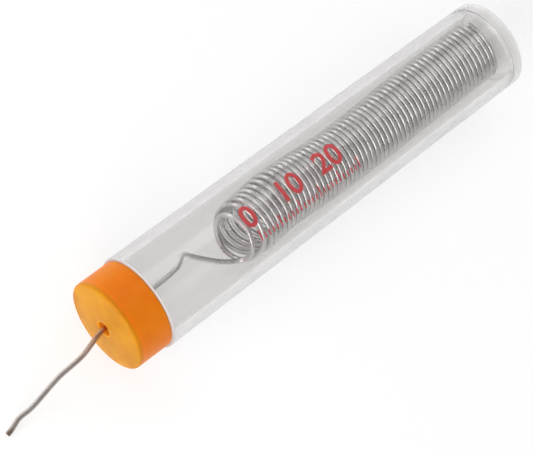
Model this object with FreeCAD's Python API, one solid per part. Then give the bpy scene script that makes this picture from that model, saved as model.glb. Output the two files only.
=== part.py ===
"""Clear push-cap tube that holds a coil of solder wire and feeds it out through its cap.

Millimetres. The tube lies on its side along X, closed end at +X, cap at -X, +Z up.
The origin is under the middle of the tube and cap, on the surface they lie on.
"""
import FreeCAD, Part
import os
from math import asin, cos, degrees, exp, pi, radians, sin, sqrt, tan

V = FreeCAD.Vector

# Tube: a tapered clear moulding, open at the cap end, with a thinner neck that the cap covers
tube_length = 92.0              # shoulder to closed end
mouth_diameter = 19.3           # outside, at the shoulder
closed_end_diameter = 18.25     # outside, at the closed end
tube_wall = 1.9
neck_wall = 0.65
floor_thickness = 1.6
end_edge_radius = 0.6
floor_corner_radius = 0.5
shoulder_edge_radius = 0.25

# Cap: a shallow cup pushed over the neck, its front slightly domed, with the feed hole in it
cap_skirt_wall = 0.75
cap_front_wall = 1.5            # at the feed hole
cap_side_length = 7.4           # open rim to where the domed front begins
cap_dome_height = 0.5
cap_edge_radius = 1.0
cap_lead_in = 0.2               # chamfer inside the open rim
feed_hole_diameter = 3.1
cap_fit_clearance = 0.05        # on the radius, cap over neck
cap_seat_gap = 0.3              # open rim of the cap to the shoulder
neck_end_gap = 0.15             # end of the neck to the inside of the cap's front

# Solder wire: the coil lies in the bottom of the bore, then a kinked lead, then the free tail
wire_diameter = 1.0
coil_slack = 1.03               # room all round the coil at the closed end of the bore
coil_bore_clearance = 0.3       # under the coil, where it lies on the bore
coil_start = 24.0               # shoulder to first turn
coil_floor_gap = 1.1            # last turn to the closed end of the bore
coil_pitch = 1.45
last_part_turn = 0.26
first_turn_opening = 0.6        # how much further the first turns are drawn apart in all
coil_start_angle = 20.0         # degrees up from level at the side
coil_sideways_roll = 54.0       # degrees that the coil's far end has rolled up the bore
tip_clearance = 0.03            # tip of the tail above the surface

wire_radius = wire_diameter / 2
axis_height = mouth_diameter / 2
cap_reach = cap_seat_gap + cap_side_length + cap_dome_height
mouth_x = (cap_reach - tube_length) / 2
inner_end = tube_length - floor_thickness
draft = (mouth_diameter - closed_end_diameter) / 2 / tube_length
mouth_bore_radius = mouth_diameter / 2 - tube_wall
neck_radius = mouth_bore_radius + neck_wall
neck_length = cap_reach - cap_front_wall - neck_end_gap
cap_inner_radius = neck_radius + cap_fit_clearance
cap_radius = cap_inner_radius + cap_skirt_wall
coil_radius = mouth_bore_radius - inner_end * draft - coil_slack
turn_radius = coil_radius - wire_radius
coil_room = inner_end - coil_floor_gap - wire_radius - first_turn_opening - coil_start
coil_turns = int(coil_room / coil_pitch - last_part_turn) + last_part_turn

# Route of the free tail: beyond the cap's front, to the side, height above the surface it lies on
tail_points = [
    (23.1, -4.55, wire_radius + tip_clearance),
    (20.1, -3.85, 1.60),
    (16.2, -3.50, 2.95),
    (10.4, -2.10, 5.15),
    (4.8, -1.50, 7.35),
]
# Route of the wire in the tube: from the shoulder, to the side of the axis, above the axis
feed_points = [
    (-cap_reach - 1.0, 0.05, -0.15),
    (-1.6, 0.20, 0.0),
]
lead_points = [
    (3.6, 0.50, 0.0),
    (9.6, 0.75, 0.05),
    (11.1, 1.40, 0.20),
    (12.8, 2.55, 0.40),
    (14.1, 1.15, -0.1),
    (15.9, -0.05, -0.8),
    (18.2, -1.30, -1.8),
    (coil_start - 3.5, -3.00, -3.0),
    (coil_start - 1.6, -4.40, -3.8),
    (coil_start, -turn_radius - 0.25, -3.3),
]
tail_end = 0.5                  # where the tail's straight run hands over to the lead
lead_last_run = wire_diameter


def at(along, side, up):
    """Point at that distance from the shoulder, to the side of the tube's axis and above it."""
    return V(mouth_x + along, side, axis_height + up)


def line(a, b):
    return Part.LineSegment(a, b).toShape()


def arc(a, middle, b):
    return Part.Arc(a, middle, b).toShape()


def turned(edges):
    """Solid of revolution of a closed profile about the tube's axis."""
    face = Part.Face(Part.Wire(edges))
    return face.revolve(at(0, 0, 0), V(1, 0, 0), 360)


def bore_radius(along):
    return mouth_bore_radius - along * draft


def rounded(centre, radius, start, end):
    """Arc in the profile's plane, from one angle to another, in degrees from +X towards +Z."""
    points = []
    for angle in (start, (start + end) / 2, end):
        points.append(centre + V(cos(radians(angle)), 0, sin(radians(angle))) * radius)
    return arc(*points)


def clear_tube():
    taper = degrees(draft)
    neck_outer = at(-neck_length, 0, neck_radius)
    shoulder_in = at(0, 0, neck_radius)
    shoulder_edge = rounded(
        at(shoulder_edge_radius, 0, mouth_diameter / 2 - shoulder_edge_radius),
        shoulder_edge_radius, 180, 90 - taper,
    )
    end_edge = rounded(
        at(tube_length - end_edge_radius, 0, closed_end_diameter / 2 - end_edge_radius),
        end_edge_radius, 90 - taper, 0,
    )
    floor_corner = rounded(
        at(inner_end - floor_corner_radius, 0, bore_radius(inner_end) - floor_corner_radius),
        floor_corner_radius, 0, 90 - taper,
    )
    neck_inner = at(-neck_length, 0, bore_radius(-neck_length))
    edges = [
        line(neck_inner, neck_outer),
        line(neck_outer, shoulder_in),
        line(shoulder_in, shoulder_edge.Vertexes[0].Point),
        shoulder_edge,
        line(shoulder_edge.Vertexes[-1].Point, end_edge.Vertexes[0].Point),
        end_edge,
        line(end_edge.Vertexes[-1].Point, at(tube_length, 0, 0)),
        line(at(tube_length, 0, 0), at(inner_end, 0, 0)),
        line(at(inner_end, 0, 0), floor_corner.Vertexes[0].Point),
        floor_corner,
        line(floor_corner.Vertexes[-1].Point, neck_inner),
    ]
    return turned(edges)


def feed_cap():
    outer = cap_radius
    inner = cap_inner_radius
    hole = feed_hole_diameter / 2
    rim = -cap_seat_gap
    front_edge = rim - cap_side_length
    flat = outer - cap_edge_radius
    dome_radius = (flat ** 2 + cap_dome_height ** 2) / (2 * cap_dome_height)
    dome_top = front_edge - cap_dome_height

    def on_dome(radius):
        return at(dome_top + dome_radius - sqrt(dome_radius ** 2 - radius ** 2), 0, radius)

    inside = dome_top + cap_front_wall
    dome_slope = degrees(asin(flat / dome_radius))
    edge = rounded(at(front_edge + cap_edge_radius, 0, flat), cap_edge_radius, 90, 180 - dome_slope)
    edge_end = edge.Vertexes[-1].Point
    edges = [
        line(at(rim, 0, inner + cap_lead_in), at(rim, 0, outer)),
        line(at(rim, 0, outer), edge.Vertexes[0].Point),
        edge,
        arc(edge_end, on_dome((edge_end.z - axis_height + hole) / 2), on_dome(hole)),
        line(on_dome(hole), at(inside, 0, hole)),
        line(at(inside, 0, hole), at(inside, 0, inner)),
        line(at(inside, 0, inner), at(rim - cap_lead_in, 0, inner)),
        line(at(rim - cap_lead_in, 0, inner), at(rim, 0, inner + cap_lead_in)),
    ]
    return turned(edges)


def coil_point(turns):
    """Middle of the wire after that many turns of the left-handed coil, which leans as it has rolled."""
    along = coil_start + coil_pitch * turns + first_turn_opening * (1 - exp(-turns))
    offset = bore_radius(along) - coil_radius - coil_bore_clearance
    roll = radians(coil_sideways_roll * turns / coil_turns)
    angle = radians(coil_start_angle) + 2 * pi * turns
    side = offset * sin(roll) - turn_radius * cos(angle)
    up = turn_radius * sin(angle) - offset * cos(roll)
    return at(along, side, up)


def coil_direction(turns):
    step = 0.001
    return (coil_point(turns + step) - coil_point(turns - step)).normalize()


def arc_from(start, direction, end):
    """Arc that leaves start along direction and ends at end."""
    chord = end - start
    inward = (chord - direction * chord.dot(direction)).normalize()
    radius = chord.dot(chord) / (2 * chord.dot(inward))
    centre = start + inward * radius
    middle = centre + ((start - centre) + (end - centre)).normalize() * radius
    return arc(start, middle, end)


def biarc(turns_a, turns_b):
    """Two tangent arcs that follow the coil from one place to another."""
    a, b = coil_point(turns_a), coil_point(turns_b)
    leaving, arriving = coil_direction(turns_a), coil_direction(turns_b)
    chord = b - a
    both = leaving + arriving
    spread = 2 * (1 - leaving.dot(arriving))
    along = chord.dot(both)
    reach = (sqrt(along ** 2 + spread * chord.dot(chord)) - along) / spread
    meeting = (a + leaving * reach + b - arriving * reach) / 2
    second = arc_from(b, arriving * -1, meeting)
    second.reverse()
    return [arc_from(a, leaving, meeting), second]


def tube_along(edges, start, direction):
    """Round wire swept along its path, with its volume compared with section times length."""
    profile = Part.Wire(Part.Circle(start, direction, wire_radius).toShape())
    path = Part.Wire(edges)
    solid = path.makePipeShell([profile], True, False)
    expected = pi * wire_radius ** 2 * path.Length
    return solid, path.Length, solid.Volume / expected


def solder_coil():
    """The turns, with a straight end of one wire diameter before the first and after the last."""
    count = round(4 * coil_turns)
    places = [coil_turns * i / count for i in range(count + 1)]
    first = coil_point(0)
    last = coil_point(coil_turns)
    start = first - coil_direction(0) * wire_diameter
    end = last + coil_direction(coil_turns) * wire_diameter
    edges = [line(start, first)]
    for a, b in zip(places, places[1:]):
        edges += biarc(a, b)
    edges.append(line(last, end))
    solid, length, ratio = tube_along(edges, start, coil_direction(0))
    print("coil: length %.0f, volume ratio %.4f, least gap %.3f" % (length, ratio, coil_gap()))
    return solid


def coil_gap():
    """Least gap between the coil's turns, measured on points along it."""
    per_turn = 36
    count = int(coil_turns * per_turn)
    points = [coil_point(i / per_turn) for i in range(count + 1)]
    least = 1000.0
    for i, point in enumerate(points):
        for other in points[i + per_turn // 2:i + per_turn * 3 // 2]:
            least = min(least, point.distanceToPoint(other))
    return least - wire_diameter


def bent_edges(points, name):
    """Straight runs joined by tangent arcs, each as large as its two runs allow."""
    edges = []
    here = points[0]
    smallest = 1000.0
    for before, corner, after in zip(points, points[1:], points[2:]):
        arriving = (corner - before).normalize()
        leaving = (after - corner).normalize()
        half_turn = arriving.getAngle(leaving) / 2
        setback = 0.45 * min((corner - before).Length, (after - corner).Length)
        radius = setback / tan(half_turn)
        smallest = min(smallest, radius)
        print("%s: turn %.0f degrees, radius %.2f" % (name, degrees(2 * half_turn), radius))
        arc_start = corner - arriving * setback
        arc_end = corner + leaving * setback
        edges.append(line(here, arc_start))
        edges.append(arc_from(arc_start, arriving, arc_end))
        here = arc_end
    edges.append(line(here, points[-1]))
    return edges


def bent_wire(points, name):
    edges = bent_edges(points, name)
    direction = (points[1] - points[0]).normalize()
    solid, length, ratio = tube_along(edges, points[0], direction)
    print("%s: length %.1f, volume ratio %.4f" % (name, length, ratio))
    return solid


def hand_over():
    """Point on the straight run between tail and lead where one ends and the other begins."""
    a, b = V(*feed_points[-1]), V(*lead_points[0])
    share = (tail_end - a.x) / (b.x - a.x)
    return at(*(a + (b - a) * share))


def solder_tail():
    points = [at(-cap_reach - out, side, height - axis_height) for out, side, height in tail_points]
    points += [at(*p) for p in feed_points]
    points.append(hand_over())
    return bent_wire(points, "tail")


def solder_lead():
    coil_end = coil_point(0) - coil_direction(0) * wire_diameter
    points = [hand_over()]
    points += [at(*p) for p in lead_points]
    points.append(coil_end - coil_direction(0) * lead_last_run)
    points.append(coil_end)
    return bent_wire(points, "lead")


os.makedirs("parts", exist_ok=True)
pieces = {
    "clear_tube": clear_tube(),
    "feed_cap": feed_cap(),
    "solder_coil": solder_coil(),
    "solder_lead": solder_lead(),
    "solder_tail": solder_tail(),
}
for name, shape in pieces.items():
    print(name, shape.ShapeType, shape.isValid(), "volume %.0f" % shape.Volume, shape.BoundBox)
    shape.exportStep("parts/" + name + ".step")
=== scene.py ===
from math import atan2, cos, degrees, pi, radians, sin, sqrt
import bmesh
import bpy
import numpy as np
from mathutils import Matrix, Vector


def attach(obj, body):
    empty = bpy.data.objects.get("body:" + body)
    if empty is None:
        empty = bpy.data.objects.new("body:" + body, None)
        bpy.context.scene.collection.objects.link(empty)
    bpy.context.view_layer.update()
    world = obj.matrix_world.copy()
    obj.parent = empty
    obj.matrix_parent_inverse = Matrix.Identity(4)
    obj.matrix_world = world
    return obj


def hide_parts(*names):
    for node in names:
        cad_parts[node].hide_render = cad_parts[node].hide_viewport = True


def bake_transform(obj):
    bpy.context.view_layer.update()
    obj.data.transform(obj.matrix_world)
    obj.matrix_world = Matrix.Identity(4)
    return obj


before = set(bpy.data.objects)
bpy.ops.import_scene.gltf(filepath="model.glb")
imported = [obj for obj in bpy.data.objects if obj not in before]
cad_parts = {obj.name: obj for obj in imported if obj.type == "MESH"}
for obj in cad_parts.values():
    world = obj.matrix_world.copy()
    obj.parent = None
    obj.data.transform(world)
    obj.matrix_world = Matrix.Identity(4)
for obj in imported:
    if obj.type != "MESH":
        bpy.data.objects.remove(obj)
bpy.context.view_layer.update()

# Solder wire
# One drawn length of soft solder, 1.0 mm across, with a thin rosin core. It is wound close into a coil
# that slides in the bore, comes forward through one tight kink and leaves by the feed hole as a tail.
WIRE = 0.001
MOUTH_RADIUS = 0.00965
AXIS = MOUTH_RADIUS
MOUTH = -0.0419
CAP_REACH = 0.0082
TURN_RADIUS = 0.005704
COIL_RADIUS = TURN_RADIUS + WIRE / 2
COIL_TURNS = 55.17
POINTS_PER_TURN = 16
BORE_AT_MOUTH = 0.00775
DRAFT = 0.005707
PLAY = 0.0003
ROLL = radians(54)
LOOSE = 0.000018
SWELL = 0.00002
CURVE_SHARE = 0.981
# PLAY is the coil's room in the bore, and ROLL how far it climbs the bore's side along its length. LOOSE and
# SWELL say how uneven its turns are. The smooth curve runs at CURVE_SHARE of its points' radius.


def bore(along):
    """Radius of the tube's bore at that distance from the shoulder."""
    return BORE_AT_MOUTH - along * DRAFT


def in_tube(along, side, up):
    """Point at that distance from the shoulder, to the side of the tube's axis and above it."""
    return (MOUTH + along, side, AXIS + up)


def on_table(out, side, height):
    """Point that far beyond the cap's front, to the side, and above the surface."""
    return (MOUTH - CAP_REACH - out, side, height)


tail_route = [
    on_table(0.0231, -0.00490, 0.00053),
    on_table(0.0223, -0.00475, 0.00080),
    on_table(0.0211, -0.00425, 0.00125),
    on_table(0.0198, -0.00370, 0.00170),
    on_table(0.0176, -0.00375, 0.00245),
    on_table(0.0153, -0.00325, 0.00330),
    on_table(0.0129, -0.00265, 0.00420),
    on_table(0.0103, -0.00205, 0.00520),
    on_table(0.0077, -0.00190, 0.00625),
    on_table(0.0052, -0.00165, 0.00720),
    on_table(0.0033, -0.00100, 0.00820),
    on_table(0.0012, -0.00015, 0.00935),
    in_tube(-0.0068, 0.00010, -0.00005),
    in_tube(-0.0016, 0.00020, 0.0),
]
lead_route = [
    in_tube(0.0036, 0.00050, 0.0),
    in_tube(0.0096, 0.00075, 0.00005),
    in_tube(0.0109, 0.00135, 0.00020),
    in_tube(0.0125, 0.00250, 0.00040),
    in_tube(0.0138, 0.00090, -0.0001),
    in_tube(0.0158, -0.00080, -0.0008),
    in_tube(0.0178, -0.00255, -0.0014),
    in_tube(0.0195, -0.00375, -0.0018),
    in_tube(0.0211, -0.00470, -0.0019),
    in_tube(0.0223, -0.00530, -0.0011),
    in_tube(0.0228, -0.00545, 0.0004),
    in_tube(0.0232, -0.00470, 0.0020),
    in_tube(0.0236, -0.00340, 0.0032),
    in_tube(0.0239, -0.00200, 0.0038),
]

# The foremost turn is drawn askew: how far from the shoulder it stands as it goes round from its top
first_turn = [0.0, 0.25, 0.38, 0.5, 0.6, 0.66, 0.74, 0.80, 0.86, 0.93, 1.0]
first_places = [0.02407, 0.0235, 0.02285, 0.02242, 0.0226, 0.0230,
                0.0236, 0.0250, 0.0259, 0.0263, 0.02644]
# Where each turn after it crosses the top of the coil: drawn apart at first, then close
turn_places = [0.02644, 0.02781, 0.02893, 0.03017, 0.03132,
               0.03278, 0.03411, 0.03551, 0.03664, 0.03778]
CLOSE_PITCH = 0.001116
# How the drawn turns lie in the bore. Each row gives the place from the shoulder, and then:
# lean: a turn's underside is nearer the shoulder than its top by twice that,
# swing: its -Y side is farther from the shoulder by that, and its +Y side nearer,
# under: its underside is nearer the shoulder by that as well,
# side step: the turn stands towards +Y by that, and spare: it is wound smaller by that.
lie_rows = [
    (0.0240, 0.00115, 0.0006, 0.0011, -0.00104, 0.00075),
    (0.0265, 0.00115, 0.0006, 0.0011, -0.00065, 0.0002),
    (0.0280, 0.00115, 0.00055, 0.0010, -0.0005, 0.0),
    (0.0300, 0.00115, 0.0005, 0.0009, -0.0003, 0.0),
    (0.0330, 0.00115, 0.00035, 0.0006, 0.0, 0.0),
    (0.0350, 0.00115, 0.0001, 0.0003, 0.00015, 0.0),
    (0.0380, 0.00115, 0.0, 0.0, 0.0, 0.0),
    (0.0430, 0.00102, 0.0, 0.0, -0.0004, 0.0),
    (0.0470, 0.00092, 0.0, 0.0, -0.0006, 0.0001),
    (0.0510, 0.00082, 0.0, 0.0, -0.0008, 0.0002),
    (0.0600, 0.0006, 0.0, 0.0, -0.0007, 0.0001),
    (0.0700, 0.0004, 0.0, 0.0, -0.0003, 0.0),
    (0.0880, 0.0, 0.0, 0.0, 0.0, 0.0),
]
lie_places, lean, swing, under, side_step, spare = zip(*lie_rows)


def uneven(turns, spacing, random):
    """Small uneven amounts along the turns, each held near one value for about that many turns."""
    knots = np.arange(0, COIL_TURNS + 2, spacing)
    return np.interp(turns, knots, random.normal(0, 1, len(knots)))


def coil_route():
    """The coil's turns as points of the wire's own line, lying in the bottom of the bore."""
    turns = np.arange(0, COIL_TURNS, 1 / POINTS_PER_TURN)
    knots = [1.0 + k for k in range(len(turn_places))] + [COIL_TURNS + 1]
    last = turn_places[-1] + CLOSE_PITCH * (COIL_TURNS + 1 - len(turn_places))
    ridge = np.interp(turns, knots, turn_places + [last])
    beyond = ridge[-1] + CLOSE_PITCH / POINTS_PER_TURN * np.arange(1, 4)
    padded = np.concatenate([np.full(3, ridge[0]), ridge, beyond])
    ridge = np.convolve(padded, np.full(7, 1 / 7), "valid")
    random = np.random.default_rng(7)
    loose = uneven(turns, 0.7, random)
    swell = uneven(turns, 0.9, random)
    angle = pi / 2 + 2 * pi * turns
    forward = np.interp(ridge, lie_places, lean) * (np.sin(angle) - 1)
    forward += np.interp(ridge, lie_places, swing) * np.cos(angle)
    forward -= np.interp(ridge, lie_places, under) * ((1 - np.sin(angle)) / 2) ** 2
    first = np.interp(turns, first_turn, first_places)
    along = np.where(turns < 1, first, ridge + forward + loose * LOOSE)
    lie = np.where(turns < 1, np.interp(turns, [0.75, 1.0], [lie_places[0], turn_places[0]]), ridge)
    radius = (TURN_RADIUS + swell * SWELL - np.interp(lie, lie_places, spare)) / CURVE_SHARE
    offset = bore(along) - COIL_RADIUS - PLAY
    roll = ROLL * turns / COIL_TURNS
    side = offset * np.sin(roll) - radius * np.cos(angle) + np.interp(lie, lie_places, side_step)
    up = radius * np.sin(angle) - offset * np.cos(roll)
    return [in_tube(a, s, u) for a, s, u in zip(along, side, up)]


def placed(name, data):
    """Object with that data, in the scene."""
    holder = bpy.data.objects.new(name, data)
    bpy.context.scene.collection.objects.link(holder)
    return holder


def taken_in(holder):
    """Mesh that the object gives with its modifiers taken in. The object goes."""
    bpy.context.view_layer.update()
    mesh = bpy.data.meshes.new_from_object(holder.evaluated_get(bpy.context.evaluated_depsgraph_get()))
    bpy.data.objects.remove(holder)
    return mesh


def smooth_line(route):
    """Points along the smooth curve that the route's points control."""
    curve = bpy.data.curves.new("wire_route", "CURVE")
    curve.dimensions = "3D"
    spline = curve.splines.new("NURBS")
    spline.points.add(len(route) - 1)
    for place, point in zip(route, spline.points):
        point.co = (*place, 1.0)
    spline.use_endpoint_u = True
    spline.order_u = 3
    spline.resolution_u = 12
    mesh = taken_in(placed("wire_route", curve))
    line = np.empty(len(mesh.vertices) * 3)
    mesh.vertices.foreach_get("co", line)
    bpy.data.meshes.remove(mesh)
    return line.reshape(-1, 3)


# The wire's line, and at each of its points: which way it runs, two directions across it and the length gone
line = smooth_line(tail_route + lead_route + coil_route())
run = np.gradient(line, axis=0)
run /= np.linalg.norm(run, axis=1)[:, None]
across = np.empty_like(line)
across[0] = np.cross(run[0], (0.0, 1.0, 0.0))
for i in range(1, len(line)):
    across[i] = across[i - 1] - run[i] * np.dot(across[i - 1], run[i])
    across[i] /= np.linalg.norm(across[i])
upward = np.cross(run, across)
gone = np.concatenate([[0.0], np.cumsum(np.linalg.norm(np.diff(line, axis=0), axis=1))])


def feed(tree, node, inputs):
    """Join each input to the output given for it, or set it to the value given."""
    for name, value in inputs.items():
        if isinstance(value, bpy.types.NodeSocket):
            tree.links.new(value, node.inputs[name])
        else:
            node.inputs[name].default_value = value


def add(tree, kind, inputs, **settings):
    """New node of that kind, with those settings and inputs."""
    node = tree.nodes.new(kind)
    for name, value in settings.items():
        setattr(node, name, value)
    feed(tree, node, inputs)
    return node


def surface_place(tree):
    """Where on the part a point of the surface is."""
    return add(tree, "ShaderNodeTexCoord", {}).outputs["Object"]


def noise(tree, place, scale, detail):
    """Soft random pattern over that place."""
    inputs = {"Vector": place, "Scale": scale, "Detail": detail}
    return add(tree, "ShaderNodeTexNoise", inputs).outputs["Fac"]


def ramp(tree, value, start, end):
    """Colour that goes from the start's to the end's, each given with its position, as the value rises."""
    node = add(tree, "ShaderNodeValToRGB", {"Fac": value})
    for element, (position, colour) in zip(node.color_ramp.elements, (start, end)):
        element.position = position
        element.color = colour
    return node.outputs["Color"]


def spread(tree, value, given, wanted=(0.0, 1.0)):
    """The value, with the given range spread over the wanted one."""
    inputs = {"Value": value, "From Min": given[0], "From Max": given[1],
              "To Min": wanted[0], "To Max": wanted[1]}
    return add(tree, "ShaderNodeMapRange", inputs).outputs["Result"]


def mixed(tree, share, first, second):
    """Colour between the first and the second, with that share of the second."""
    inputs = {"Factor": share, "A": first, "B": second}
    return add(tree, "ShaderNodeMix", inputs, data_type="RGBA").outputs["Result"]


def bumped(tree, height, strength, distance):
    """Normal of a surface with that fine relief."""
    inputs = {"Height": height, "Strength": strength, "Distance": distance}
    return add(tree, "ShaderNodeBump", inputs).outputs["Normal"]


def new_material(name):
    """Material of that name, and its node tree."""
    material = bpy.data.materials.new(name)
    material.use_nodes = True
    return material, material.node_tree


def solder_surface():
    """Bright drawn metal with faint lines, dark where the rosin shows at a cut end and darkest at the tail's
    tip, with painted shade along the tail and painted brown near the feed hole for the orange cap's
    reflection.
    """
    solder, tree = new_material("drawn_solder")
    unrolled = add(tree, "ShaderNodeUVMap", {}, uv_map="wire").outputs["UV"]
    drawn = add(tree, "ShaderNodeMapping", {"Vector": unrolled, "Scale": (18, 1.2, 1)}).outputs["Vector"]
    lines = noise(tree, drawn, 1.0, 4.0)
    dull = noise(tree, surface_place(tree), 420.0, 2.0)
    colour = ramp(tree, dull, (0.3, (0.54, 0.532, 0.523, 1)), (0.7, (0.66, 0.651, 0.641, 1)))
    # The dark tone marks the rosin, the tail's tip and painted shade along the tail. The brown tone is
    # painted reflection of the orange cap near the feed hole.
    for attribute, tone in (("core_and_shade", (0.13, 0.09, 0.06, 1)), ("painted_cap_reflection", (0.47, 0.20, 0.075, 1))):
        share = add(tree, "ShaderNodeAttribute", {}, attribute_name=attribute).outputs["Fac"]
        colour = mixed(tree, share, colour, tone)
    feed(tree, tree.nodes["Principled BSDF"], {
        "Base Color": colour,
        "Metallic": 1.0,
        "Roughness": spread(tree, dull, (0.25, 0.75), (0.24, 0.33)),
        "Normal": bumped(tree, lines, 0.02, 0.00002),
    })
    return solder


drawn_solder = solder_surface()
# How much painted brown the wire gets for the orange cap's reflection, at places measured from the cap's
# front towards the tube
orange_reflection_places = [-0.012, -0.0085, -0.0045, -0.0015, 0.002, 0.004]
orange_reflection_share = [0.12, 0.15, 0.4, 0.85, 0.85, 0.0]
# How dark the wire is from its nipped end on: darkest at the end, then painted shade along the rest of the
# tail
darkening_places = [0.0006, 0.0018, 0.030, 0.036]
tip_dark_and_shade = [0.75, 0.2, 0.2, 0.0]
# The cut end: the core's radius, and how far its edge and its middle stand out
CORE = WIRE * 0.17
CORE_OUT = 0.00006
MIDDLE_OUT = 0.00004
# Rings are this many points of the line apart, and have this many sides
LEAD_STEP = 2
LEAD_SIDES = 20
COIL_STEP = 3
COIL_SIDES = 18


def beside_line(at, turn, size):
    """Point beside the wire's line at that place, that far round it and that far out."""
    return line[at] + (across[at] * cos(turn) + upward[at] * sin(turn)) * size


def wire_piece(name, first, last, step, sides, cut_start=False, cut_end=False):
    """Stretch of the wire as a closed round tube, with its rings on the line from one place to another."""
    rings = list(range(first, last, step)) + [last]
    # Painted brown near the feed hole, for the orange cap's reflection in the wire
    orange_reflection = np.interp(line[:, 0] - (MOUTH - CAP_REACH), orange_reflection_places, orange_reflection_share)
    # Dark at the tail's tip, then painted shade along the rest of the tail
    darkening = np.interp(gone, darkening_places, tip_dark_and_shade)
    unrolled = gone / (pi * WIRE)
    turns = np.arange(sides) * 2 * pi / sides
    points, faces, spots, dark_shares, reflection_shares = [], [], [], [], []
    for at in rings:
        points += [beside_line(at, turn, WIRE / 2) for turn in turns]
        # Each ring's dark share: the tail's tip, then painted shade along the tail
        dark_shares += [float(darkening[at])] * sides
        reflection_shares += [float(orange_reflection[at])] * sides
    for ring in range(len(rings) - 1):
        here, there = ring * sides, (ring + 1) * sides
        v0, v1 = unrolled[rings[ring]], unrolled[rings[ring + 1]]
        for side in range(sides):
            beside = (side + 1) % sides
            faces.append((here + side, here + beside, there + beside, there + side))
            u0, u1 = side / sides, (side + 1) / sides
            spots += [(u0, v0), (u1, v0), (u1, v1), (u0, v1)]
    for ring, out, cut in ((0, -1, cut_start), (len(rings) - 1, 1, cut_end)):
        at = rings[ring]
        outer, inner = ring * sides, len(points)
        points += [beside_line(at, turn, CORE) + run[at] * out * CORE_OUT for turn in turns]
        middle = len(points)
        points.append(line[at] + run[at] * out * MIDDLE_OUT)
        dark_shares += [1.0 if cut else 0.0] * (sides + 1)
        reflection_shares += [0.0] * (sides + 1)
        for side in range(sides):
            beside = (side + 1) % sides
            faces.append((outer + side, outer + beside, inner + beside, inner + side)[::out])
            faces.append((inner + side, inner + beside, middle)[::out])
            spots += [(0.5, unrolled[at])] * 7
    mesh = bpy.data.meshes.new(name)
    mesh.from_pydata([tuple(point) for point in points], [], faces)
    layer = mesh.uv_layers.new(name="wire")
    layer.data.foreach_set("uv", np.array(spots).ravel())
    mesh.attributes.new("core_and_shade", "FLOAT", "POINT").data.foreach_set("value", dark_shares)
    mesh.attributes.new("painted_cap_reflection", "FLOAT", "POINT").data.foreach_set("value", reflection_shares)
    mesh.shade_smooth()
    mesh.set_sharp_from_angle(angle=radians(50))
    mesh.materials.append(drawn_solder)
    piece = placed(name, mesh)
    return piece, line[rings]


def place_at(along):
    """First place on the wire's line that is that far from the shoulder."""
    return int(np.argmax(line[:, 0] >= MOUTH + along))


hand_over = place_at(0.0005)
cap_run = place_at(0.0020)
tube_run = place_at(0.0035)
first_rise = np.array(in_tube(0.0228, -0.00540, 0.0004))
coil_run = int(np.argmin(np.linalg.norm(line - first_rise, axis=1)))

tail, tail_rings = wire_piece("solder_tail_wire", 0, hand_over, LEAD_STEP, LEAD_SIDES, cut_start=True)
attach(tail, "tail")
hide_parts("solder_tail")
lead_a, _ = wire_piece("solder_lead_feed", hand_over, cap_run, LEAD_STEP, LEAD_SIDES)
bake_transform(lead_a)
lead_b, _ = wire_piece("solder_lead_mouth", cap_run, tube_run, LEAD_STEP, LEAD_SIDES)
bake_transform(lead_b)
lead_c, _ = wire_piece("solder_lead_kink", tube_run, coil_run, LEAD_STEP, LEAD_SIDES)
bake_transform(lead_c)
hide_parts("solder_lead")
coil, coil_rings = wire_piece("solder_coil_wire", coil_run, len(line) - 1, COIL_STEP, COIL_SIDES,
                              cut_end=True)
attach(coil, "coil")
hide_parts("solder_coil")

# Clear tube
# One thin-walled moulding in clear plastic with a heavy floor, drawn off its core along a slight taper.
# The core leaves a polished bore, and the shoulder and the closed end come off matt steel. The gate is
# trimmed off in a small dimple at the closed end.
TUBE_LENGTH = 0.092
FLOOR_INSIDE = 0.0904
FLOOR_EDGE = 0.001
FLOOR_RADIUS = 0.0072
GRAINED_FROM = 0.0894
END_RADIUS = 0.009125
END_EDGE = 0.0006
DIMPLE = 0.00022
SHOULDER_EDGE = 0.00025
NECK_RADIUS = 0.0084
NECK_LENGTH = 0.00655
NECK_CORNER = 0.00015
NECK_EDGE = 0.0002
RINGS_BETWEEN = (0.030, 0.060)
LONG_FACE = 0.0008
SUPPORT = 0.00012
# How far the matt shoulder, the grained end and the grained floor reach
SHOULDER_REACH = 0.0003
END_REACH = 0.0004
FLOOR_REACH = 0.0012


def arc(along, radius, size, start, end, count=8):
    """Points of a rounded edge in the section, from one angle to another, in degrees from +X outward."""
    angles = [radians(start + (end - start) * i / count) for i in range(count + 1)]
    return [(along + size * cos(a), radius + size * sin(a)) for a in angles]


def supported(section, closed):
    """The section with a point beside each edge of its long faces, so that these shade true to the edge."""
    points = []
    for (a0, r0), (a1, r1) in zip(section, section[1:] + section[:1]):
        points.append((a0, r0))
        length = sqrt((a1 - a0) ** 2 + (r1 - r0) ** 2)
        if length > LONG_FACE:
            for part in (SUPPORT / length, 1 - SUPPORT / length):
                points.append((a0 + (a1 - a0) * part, r0 + (r1 - r0) * part))
    if not closed:
        points = points[:points.index(section[-1]) + 1]
    return points


def turned(name, section, closed, count):
    """Piece turned about the tube's axis from its section, given as distances from shoulder and axis."""
    mesh = bpy.data.meshes.new(name)
    build = bmesh.new()
    circles = []
    for along, radius in supported(section, closed):
        if radius == 0:
            circles.append([build.verts.new((MOUTH + along, 0, AXIS))] * count)
            continue
        ring = []
        for j in range(count):
            a = 2 * pi * j / count
            ring.append(build.verts.new((MOUTH + along, radius * cos(a), AXIS + radius * sin(a))))
        circles.append(ring)
    pairs = list(zip(circles, circles[1:]))
    if closed:
        pairs.append((circles[-1], circles[0]))
    for here, there in pairs:
        for j in range(count):
            k = (j + 1) % count
            corners = []
            for corner in (here[j], there[j], there[k], here[k]):
                if corner not in corners:
                    corners.append(corner)
            build.faces.new(corners)
    bmesh.ops.recalc_face_normals(build, faces=build.faces)
    build.to_mesh(mesh)
    build.free()
    mesh.shade_smooth()
    mesh.set_sharp_from_angle(angle=radians(35))
    return placed(name, mesh)


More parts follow.
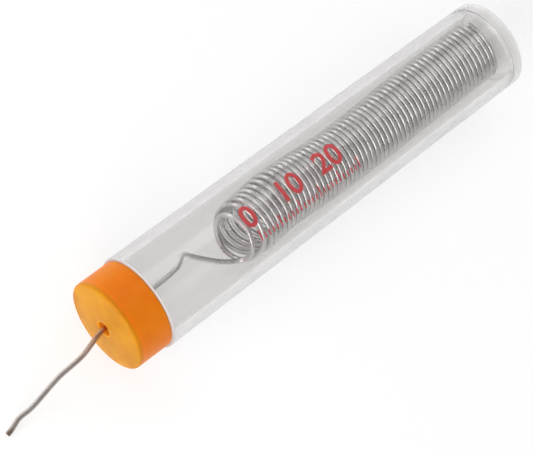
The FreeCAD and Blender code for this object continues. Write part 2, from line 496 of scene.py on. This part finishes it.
tube_section = [
    (TUBE_LENGTH - DIMPLE, 0), (TUBE_LENGTH - DIMPLE, 0.00095), (TUBE_LENGTH - 0.0002, 0.00112),
    (TUBE_LENGTH, 0.0013), (TUBE_LENGTH, 0.004),
    *arc(TUBE_LENGTH - END_EDGE, END_RADIUS - END_EDGE, END_EDGE, 0, 90),
    (GRAINED_FROM, END_RADIUS + (TUBE_LENGTH - END_EDGE - GRAINED_FROM) * DRAFT),
    *[(along, MOUTH_RADIUS - along * DRAFT) for along in reversed(RINGS_BETWEEN)],
    *arc(SHOULDER_EDGE, MOUTH_RADIUS - SHOULDER_EDGE, SHOULDER_EDGE, 90, 180),
    (0.0, NECK_RADIUS + NECK_CORNER), (-NECK_CORNER, NECK_RADIUS),
    *arc(-NECK_LENGTH + NECK_EDGE, NECK_RADIUS - NECK_EDGE, NECK_EDGE, 90, 180),
    *arc(-NECK_LENGTH + NECK_CORNER, bore(-NECK_LENGTH) + NECK_CORNER, NECK_CORNER, 180, 270),
    *[(along, bore(along)) for along in RINGS_BETWEEN],
    *arc(FLOOR_INSIDE - FLOOR_EDGE, bore(FLOOR_INSIDE) - FLOOR_EDGE, FLOOR_EDGE, 90, 0),
    (FLOOR_INSIDE, 0.003), (FLOOR_INSIDE, 0),
]
tube = turned("tube_moulding", tube_section, closed=False, count=192)


def clear_plastic():
    """Clear plastic, greyer where it is seen at a slant, with faint flow and scuffs in its polish."""
    clear, tree = new_material("clear_polished_plastic")
    slant = add(tree, "ShaderNodeLayerWeight", {}).outputs["Facing"]
    grey = spread(tree, slant, (0.15, 0.55))
    place = surface_place(tree)
    stretched = add(tree, "ShaderNodeMapping", {"Vector": place, "Scale": (0.35, 1, 1)}).outputs["Vector"]
    flow = noise(tree, stretched, 90.0, 2.0)
    scuff = noise(tree, place, 140.0, 3.0)
    shader = tree.nodes["Principled BSDF"]
    feed(tree, shader, {
        "Base Color": mixed(tree, grey, (0.875, 0.867, 0.862, 1), (0.68, 0.67, 0.665, 1)),
        "Transmission Weight": 0.96,
        "IOR": 1.5,
        "Roughness": spread(tree, scuff, (0.4, 0.8), (0.0, 0.03)),
        "Normal": bumped(tree, flow, 0.0008, 0.0001),
    })
    shadow = add(tree, "ShaderNodeLightPath", {}).outputs["Is Shadow Ray"]
    through = add(tree, "ShaderNodeBsdfTransparent", {"Color": (0.96, 0.96, 0.96, 1)}).outputs["BSDF"]
    both = add(tree, "ShaderNodeMixShader", {"Fac": shadow, 1: shader.outputs["BSDF"], 2: through})
    feed(tree, tree.nodes["Material Output"], {"Surface": both.outputs["Shader"]})
    return clear


def moulded_grain(name, colour, clear, smoothest, roughest):
    """Plastic off a matt part of the mould: how see-through it is, and how rough."""
    grained, tree = new_material(name)
    grain = noise(tree, surface_place(tree), 1500.0, 3.0)
    feed(tree, tree.nodes["Principled BSDF"], {
        "Base Color": colour,
        "Transmission Weight": clear,
        "IOR": 1.49,
        "Roughness": spread(tree, grain, (0.0, 1.0), (smoothest, roughest)),
    })
    return grained


tube.data.materials.append(clear_plastic())
# The matt shoulder's faint pink is painted orange light scattered from the cap
tube.data.materials.append(moulded_grain("matt_shoulder", (0.76, 0.72, 0.72, 1), 0.4, 0.4, 0.6))
tube.data.materials.append(moulded_grain("grained_end", (1.0, 0.995, 0.99, 1), 0.52, 0.08, 0.16))
tube.data.materials.append(moulded_grain("grained_floor", (1.0, 0.995, 0.99, 1), 0.82, 0.08, 0.16))
for face in tube.data.polygons:
    along = face.center.x - MOUTH
    out = sqrt(face.center.y ** 2 + (face.center.z - AXIS) ** 2)
    if -0.0001 < along < SHOULDER_REACH and out > NECK_RADIUS:
        face.material_index = 1
    elif along > GRAINED_FROM and out > FLOOR_RADIUS or along > TUBE_LENGTH - END_REACH:
        face.material_index = 2
    elif along > FLOOR_INSIDE - FLOOR_REACH and out < FLOOR_RADIUS:
        face.material_index = 3
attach(tube, "tube")
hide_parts("clear_tube")

# Feed cap
# One shallow cup in orange plastic, pushed over the tube's neck, with the feed hole in its domed front.
# Painted light in its colour: brighter round the feed hole, for light that comes through the hole's rounded
# edge, and yellower on the front, where the window lights it.
CAP_RADIUS = 0.0092
CAP_INSIDE = 0.00845
CAP_RIM = -0.00005
CAP_RIM_EDGE = 0.0001
CAP_FRONT = -0.0077
CAP_EDGE = 0.0006
CAP_WALL = 0.0015
DOME = 0.0005
DOME_RINGS = 10
HOLE = 0.00155
HOLE_EDGE = 0.0002
# Where the painted light in the colour fades out, from the front inwards and from the hole outwards
FRONT_FADE = (0.0011, 0.0004)
HOLE_FADE = (0.0003, 0.00002)
flat = CAP_RADIUS - CAP_EDGE
dome_radius = (flat ** 2 + DOME ** 2) / (2 * DOME)
dome_top = CAP_FRONT - DOME


def on_dome(radius):
    """Point of the domed front at that distance from the axis."""
    return (dome_top + dome_radius - sqrt(dome_radius ** 2 - radius ** 2), radius)


cap_inner_face = dome_top + CAP_WALL
front_width = flat - HOLE - HOLE_EDGE
cap_section = [
    (CAP_RIM, CAP_INSIDE + 0.0002), (CAP_RIM, CAP_RADIUS - CAP_RIM_EDGE),
    *arc(CAP_RIM - CAP_RIM_EDGE, CAP_RADIUS - CAP_RIM_EDGE, CAP_RIM_EDGE, 0, 90, 4),
    *arc(CAP_FRONT + CAP_EDGE, flat, CAP_EDGE, 90, 180 - degrees(atan2(flat, dome_radius)), 12),
    *[on_dome(HOLE + HOLE_EDGE + front_width * (1 - i / DOME_RINGS)) for i in range(1, DOME_RINGS + 1)],
    (on_dome(HOLE)[0] + 0.00004, HOLE + 0.00006), (on_dome(HOLE)[0] + 0.00018, HOLE),
    (cap_inner_face - 0.0001, HOLE), (cap_inner_face, HOLE + 0.0001),
    (cap_inner_face, CAP_INSIDE - 0.0003), (cap_inner_face + 0.0001, CAP_INSIDE - 0.0001),
    (cap_inner_face + 0.0003, CAP_INSIDE),
    (CAP_RIM - 0.0002, CAP_INSIDE),
]
cap = turned("cap_moulding", cap_section, closed=True, count=144)


def cap_plastic():
    """Orange plastic that lets some light into it, with painted light in its colour: yellower on its lit
    front and brighter round the feed hole.
    """
    orange, tree = new_material("orange_cap_plastic")
    place = surface_place(tree)
    cloud = noise(tree, place, 190.0, 3.0)
    side = ramp(tree, cloud, (0.3, (0.86, 0.193, 0.004, 1)), (0.7, (0.94, 0.236, 0.006, 1)))
    # The front's yellower colour is painted light, for the window's light on the front
    front = ramp(tree, cloud, (0.3, (0.48, 0.180, 0.001, 1)), (0.7, (0.59, 0.252, 0.002, 1)))
    along = add(tree, "ShaderNodeSeparateXYZ", {"Vector": place}).outputs["X"]
    painted_front_light = spread(tree, along, (MOUTH + CAP_FRONT + FRONT_FADE[0], MOUTH + CAP_FRONT + FRONT_FADE[1]))
    colour = mixed(tree, painted_front_light, side, front)
    centred = add(tree, "ShaderNodeVectorMath", {0: place, 1: (0, 0, AXIS)}, operation="SUBTRACT").outputs[0]
    outward = add(tree, "ShaderNodeVectorMath", {0: centred, 1: (0, 1, 1)}, operation="MULTIPLY").outputs[0]
    radius = add(tree, "ShaderNodeVectorMath", {0: outward}, operation="LENGTH").outputs["Value"]
    # Painted light round the feed hole: the colour turns a brighter orange there
    painted_hole_light = spread(tree, radius, (HOLE + HOLE_FADE[0], HOLE + HOLE_FADE[1]))
    grain = noise(tree, place, 2200.0, 4.0)
    feed(tree, tree.nodes["Principled BSDF"], {
        "Base Color": mixed(tree, painted_hole_light, colour, (1.0, 0.40, 0.02, 1)),
        "IOR": 1.4,
        "Specular IOR Level": 0.2,
        "Subsurface Weight": 0.7,
        "Subsurface Radius": (1.0, 0.35, 0.08),
        "Subsurface Scale": 0.002,
        "Roughness": spread(tree, grain, (0.0, 1.0), (0.33, 0.5)),
        "Normal": bumped(tree, grain, 0.12, 0.00004),
    })
    return orange


cap.data.materials.append(cap_plastic())
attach(cap, "cap")
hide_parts("feed_cap")

# Printed scale
# A plain millimetre scale, screen-printed in red along the top of the tube: one thin film of ink, part of it
# sunk in the plastic. Every fifth mark is longer, and every tenth has its number above it.
SCALE_START = 0.0235
SCALE_MARKS = 26
SCALE_STEP = 0.001
INK = 0.00003
INK_SUNK = 0.3
MARK_WIDTH = 0.00028
MARK_LENGTH = 0.0012
FIFTH_LONGER = 1.9
MARK_FOOT = -0.0045
NUMBER_FOOT = -0.0013
NUMBER_HEIGHT = 0.0042
NUMBER_EVERY = 10
CAPITAL_SHARE = 0.7
PEN_SPREAD = 0.00012
WRAP_RADIUS = 0.0095
WRAP_STEP = 0.0003


def marks_tree():
    """Nodes that set up the row of marks and draw every fifth one longer."""
    tree = bpy.data.node_groups.new("scale_marks", "GeometryNodeTree")
    sockets = tree.interface
    sockets.new_socket("Geometry", in_out="OUTPUT", socket_type="NodeSocketGeometry")
    sockets.new_socket("Marks", in_out="INPUT", socket_type="NodeSocketInt")
    for name in ("Step", "Mark width", "Mark length", "Ink", "Fifth mark"):
        sockets.new_socket(name, in_out="INPUT", socket_type="NodeSocketFloat")
    sockets.new_socket("Print", in_out="INPUT", socket_type="NodeSocketMaterial")
    given = tree.nodes.new("NodeGroupInput").outputs
    step = add(tree, "ShaderNodeCombineXYZ", {"X": given["Step"]}).outputs["Vector"]
    row = add(tree, "GeometryNodeMeshLine", {"Count": given["Marks"], "Offset": step}).outputs["Mesh"]
    measures = {"X": given["Mark width"], "Y": given["Mark length"], "Z": given["Ink"]}
    size = add(tree, "ShaderNodeCombineXYZ", measures).outputs["Vector"]
    mark = add(tree, "GeometryNodeMeshCube", {"Vertices Y": 8, "Size": size}).outputs["Mesh"]
    half = add(tree, "ShaderNodeVectorMath", {0: size, 1: (0, 0.5, 0.5)}, operation="MULTIPLY").outputs[0]
    standing = add(tree, "GeometryNodeTransform", {"Geometry": mark, "Translation": half}).outputs["Geometry"]
    number = tree.nodes.new("GeometryNodeInputIndex").outputs["Index"]
    over = add(tree, "ShaderNodeMath", {0: number, 1: 5}, operation="MODULO").outputs["Value"]
    is_fifth = add(tree, "ShaderNodeMath", {0: over, 1: 0.5}, operation="LESS_THAN").outputs["Value"]
    length = spread(tree, is_fifth, (0.0, 1.0), (1.0, given["Fifth mark"]))
    stretch = add(tree, "ShaderNodeCombineXYZ", {"X": 1.0, "Y": length, "Z": 1.0}).outputs["Vector"]
    instances = {"Points": row, "Instance": standing, "Scale": stretch}
    marks = add(tree, "GeometryNodeInstanceOnPoints", instances).outputs["Instances"]
    real = add(tree, "GeometryNodeRealizeInstances", {"Geometry": marks}).outputs["Geometry"]
    inked = add(tree, "GeometryNodeSetMaterial", {"Geometry": real, "Material": given["Print"]})
    add(tree, "NodeGroupOutput", {"Geometry": inked.outputs["Geometry"]})
    return tree


def red_ink():
    """Red printing ink that covers a little unevenly."""
    ink, tree = new_material("red_print")
    cover = noise(tree, surface_place(tree), 2600.0, 3.0)
    feed(tree, tree.nodes["Principled BSDF"], {
        "Base Color": ramp(tree, cover, (0.35, (0.50, 0.036, 0.042, 1)), (0.7, (0.64, 0.085, 0.090, 1))),
        "Roughness": 0.5,
    })
    return ink


red = red_ink()
marks = placed("marks", bpy.data.meshes.new("marks"))
maker = marks.modifiers.new("marks", "NODES")
maker.node_group = marks_tree()
wanted = {"Marks": SCALE_MARKS, "Step": SCALE_STEP, "Mark width": MARK_WIDTH, "Mark length": MARK_LENGTH,
          "Ink": INK, "Fifth mark": FIFTH_LONGER, "Print": red}
for socket in maker.node_group.interface.items_tree:
    if socket.in_out == "INPUT":
        maker[socket.identifier] = wanted[socket.name]
build = bmesh.new()
build.from_mesh(taken_in(marks))
bmesh.ops.translate(build, vec=(0, MARK_FOOT, 0), verts=build.verts)
for number in range(0, SCALE_MARKS, NUMBER_EVERY):
    words = bpy.data.curves.new("number", "FONT")
    words.body = str(number)
    words.size = NUMBER_HEIGHT / CAPITAL_SHARE
    words.align_x = "CENTER"
    words.extrude = INK / 2
    words.offset = PEN_SPREAD
    words.resolution_u = 6
    drawn = taken_in(placed("number", words))
    drawn.transform(Matrix.Translation((number * SCALE_STEP, NUMBER_FOOT, INK / 2)))
    build.from_mesh(drawn)
bmesh.ops.remove_doubles(build, verts=build.verts, dist=0.000001)
for cut in np.arange(NUMBER_FOOT, NUMBER_FOOT + NUMBER_HEIGHT * 1.1, WRAP_STEP):
    everything = build.verts[:] + build.edges[:] + build.faces[:]
    bmesh.ops.bisect_plane(build, geom=everything, plane_co=(0, cut, 0), plane_no=(0, 1, 0))
for vert in build.verts:
    along, round_by, lift = SCALE_START + vert.co.x, vert.co.y / WRAP_RADIUS, vert.co.z
    radius = MOUTH_RADIUS - along * DRAFT + lift - INK * INK_SUNK
    vert.co = in_tube(along, radius * sin(round_by), radius * cos(round_by))
bmesh.ops.recalc_face_normals(build, faces=build.faces)
scale_mesh = bpy.data.meshes.new("printed_scale")
build.to_mesh(scale_mesh)
build.free()
# The marks come with an empty slot before their ink, so each face is put in the one slot that is left
scale_mesh.materials.append(red)
for face in scale_mesh.polygons:
    face.material_index = 0
scale = placed("printed_scale", scale_mesh)
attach(scale, "tube")

# Table, lights and camera
# A plain white table top that gives a little light of its own, two soft panels on the far side, one high and
# one low, and a wide window beyond the cap.
TABLE = 2
table_mesh = bpy.data.meshes.new("table")
corners = [(-TABLE, -TABLE, 0), (TABLE, -TABLE, 0), (TABLE, TABLE, 0), (-TABLE, TABLE, 0)]
table_mesh.from_pydata(corners, [], [(0, 1, 2, 3)])
table = placed("table", table_mesh)
white, white_tree = new_material("white_table")
feed(white_tree, white_tree.nodes["Principled BSDF"], {
    "Base Color": (0.40, 0.40, 0.40, 1),
    "Roughness": 0.9,
    "Specular IOR Level": 0.1,
    "Emission Color": (1, 1, 1, 1),
    "Emission Strength": 0.655,
})
table_mesh.materials.append(white)

scene = bpy.context.scene
scene.view_settings.view_transform = "Standard"


def studio_surroundings():
    """Pale room all round, lighter low down than overhead."""
    world = bpy.data.worlds.new("studio")
    world.use_nodes = True
    tree = world.node_tree
    direction = add(tree, "ShaderNodeTexCoord", {}).outputs["Generated"]
    height = add(tree, "ShaderNodeSeparateXYZ", {"Vector": direction}).outputs["Z"]
    colour = ramp(tree, height, (0.10, (0.95, 0.94, 0.94, 1)), (0.28, (0.43, 0.425, 0.425, 1)))
    feed(tree, tree.nodes["Background"], {"Color": colour})
    return world


scene.world = studio_surroundings()


def soft_light(name, place, aim, size, power):
    """Soft oblong panel of light at that place, turned to its aim."""
    lamp = bpy.data.lights.new(name, "AREA")
    lamp.shape = "RECTANGLE"
    lamp.size, lamp.size_y = size
    lamp.energy = power
    facing = (Vector(aim) - Vector(place)).to_track_quat("-Z", "Y")
    placed(name, lamp).matrix_world = Matrix.Translation(place) @ facing.to_matrix().to_4x4()


soft_light("window", (-0.9, -0.10, 0.44), (0.02, 0, 0.01), (1.2, 0.50), 8.6)
soft_light("high_panel", (0.33, 0.50, 0.78), (0.05, 0.0, 0.0), (1.65, 0.42), 1.9)
soft_light("side_panel", (-0.16, 0.75, 0.13), (0.03, 0.0, 0.01), (0.62, 0.2), 0.9)

CAMERA_PLACE = (-0.210123, 0.0, 0.427807)
camera = bpy.data.cameras.new("camera")
camera.sensor_width = 36.0
camera.lens = 168.974
camera.clip_start = 0.01
camera.clip_end = 10.0
view = placed("camera", camera)
right = Vector((0.72411132, -0.59621919, 0.34667775))
up = Vector((0.54110743, 0.8027974, 0.25043777))
back = Vector((-0.4276278, 0.00624508, 0.90393333))
facing = Matrix((right, up, back)).transposed().to_4x4()
view.matrix_world = Matrix.Translation(CAMERA_PLACE) @ facing
scene.camera = view
